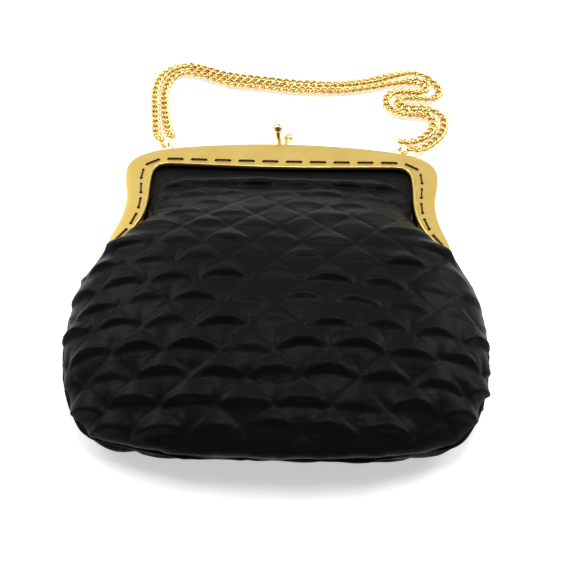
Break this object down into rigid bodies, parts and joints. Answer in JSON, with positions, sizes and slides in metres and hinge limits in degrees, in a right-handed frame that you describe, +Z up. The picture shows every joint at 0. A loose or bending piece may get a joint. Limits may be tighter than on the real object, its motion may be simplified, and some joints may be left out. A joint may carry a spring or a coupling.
{
  "type": "evening purse",
  "caption": "Quilted satin evening purse with a hinged gold-tone frame, a kiss-lock clasp and a double chain handle, lying on its back.",
  "frame": {"origin": "on the surface the purse lies on, under the middle of the purse without its chain", "axes": "+X across the frame, +Y from the foot of the pouch to the clasp, +Z up through the front of the purse"},
  "size_m": [0.211, 0.3102, 0.0439],
  "materials": {
    "frame_gold": "satin gold-tone plated sheet, softly brushed",
    "polished_gold": "polished gold-tone plating",
    "chain_gold": "polished gold-tone curb chain",
    "stitching": "dark brown waxed thread",
    "quilted_satin": "black satin, diamond quilted",
    "wadding": "soft white cotton wadding",
    "lining": "plain black satin lining"
  },
  "bodies": {
    "rear_half": {"rear_frame": "frame_gold", "rear_stitching": "stitching", "hinge_pin_left": "frame_gold", "hinge_pin_right": "frame_gold", "rear_clasp_post": "polished_gold", "rear_clasp_base": "frame_gold", "chain_lug_left": "frame_gold", "chain_lug_right": "frame_gold", "chain_strand_1": "chain_gold", "chain_strand_2": "chain_gold", "front_panel_lower": "quilted_satin", "front_wadding_lower": "wadding", "front_lining_lower": "lining", "rear_panel": "quilted_satin", "rear_wadding": "wadding", "rear_lining": "lining"},
    "front_half": {"front_frame": "frame_gold", "front_stitching": "stitching", "front_clasp_post": "polished_gold", "front_clasp_base": "frame_gold", "front_panel_upper": "quilted_satin", "front_wadding_upper": "wadding", "front_lining_upper": "lining"},
    "left_ring": {"jump_ring_left": "polished_gold", "end_link_left_1": "polished_gold", "end_link_left_2": "polished_gold"},
    "right_ring": {"jump_ring_right": "polished_gold", "end_link_right_1": "polished_gold", "end_link_right_2": "polished_gold"}
  },
  "joints": [
    {"name": "frame_opening", "type": "hinge", "parent": "rear_half", "child": "front_half", "pos_m": [0, 0.0349, 0.0104], "axis": [1, 0, 0], "range_deg": [0, 36]},
    {"name": "left_ring_swing", "type": "hinge", "parent": "rear_half", "child": "left_ring", "pos_m": [-0.07102, 0.09946, 0.0026], "axis": [0.9613, 0.2756, 0], "range_deg": [-8, 12]},
    {"name": "right_ring_swing", "type": "hinge", "parent": "rear_half", "child": "right_ring", "pos_m": [0.07102, 0.09946, 0.0026], "axis": [0.9613, -0.2756, 0], "range_deg": [-8, 12]}
  ]
}
